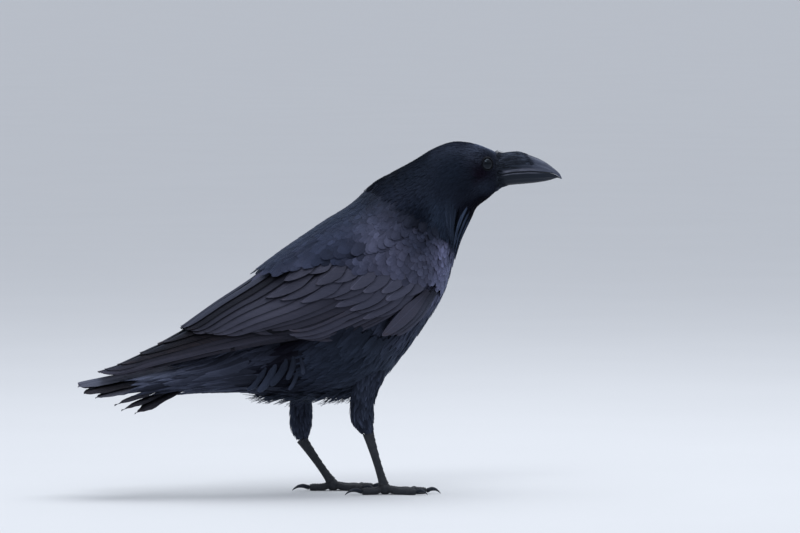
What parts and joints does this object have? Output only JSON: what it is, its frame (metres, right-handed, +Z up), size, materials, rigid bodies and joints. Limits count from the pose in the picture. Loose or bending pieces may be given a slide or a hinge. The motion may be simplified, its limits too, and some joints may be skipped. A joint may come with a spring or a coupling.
{
  "type": "standing raven model",
  "caption": "Life-size standing raven with folded wings, heavy hooked bill, wedge-shaped tail and gripping feet.",
  "frame": {"origin": "on the floor, under the middle of the bird's bounding box", "axes": "+X ahead, the way the bill points; +Y to the bird's left; +Z up"},
  "size_m": [0.5634, 0.1488, 0.4035],
  "materials": {
    "head_plumage": "short glossy black feathers with a green and blue sheen",
    "body_plumage": "soft black feathers with a blue sheen",
    "wing_coverts": "glossy black feathers with a violet blue sheen",
    "flight_feathers": "stiff black feathers, slightly worn and brownish at the edges",
    "bill_horn": "black horn, satin, glossier towards the tip",
    "claw_horn": "black horn, satin",
    "foot_skin": "black scaled skin",
    "eye": "wet gloss, very dark brown"
  },
  "bodies": {
    "root": {"head": "head_plumage", "neck": "head_plumage", "trunk": "body_plumage", "tail": "flight_feathers", "bill_upper": "bill_horn", "bill_lower": "bill_horn", "nasal_tuft": "head_plumage", "eye_right": "eye", "wing_right_scapulars": "wing_coverts", "wing_right_shoulder_coverts": "wing_coverts", "wing_right_greater_coverts": "wing_coverts", "wing_right_secondaries": "flight_feathers", "wing_right_primaries": "flight_feathers", "wing_right_alula": "wing_coverts", "eye_left": "eye", "wing_left_scapulars": "wing_coverts", "wing_left_shoulder_coverts": "wing_coverts", "wing_left_greater_coverts": "wing_coverts", "wing_left_secondaries": "flight_feathers", "wing_left_primaries": "flight_feathers", "wing_left_alula": "wing_coverts", "leg_right_shank": "body_plumage", "leg_right_tarsus": "foot_skin", "foot_right": "foot_skin", "claw_right_inner": "claw_horn", "claw_right_middle": "claw_horn", "claw_right_outer": "claw_horn", "claw_right_hind": "claw_horn", "leg_left_shank": "body_plumage", "leg_left_tarsus": "foot_skin", "foot_left": "foot_skin", "claw_left_inner": "claw_horn", "claw_left_middle": "claw_horn", "claw_left_outer": "claw_horn", "claw_left_hind": "claw_horn"}
  },
  "joints": []
}
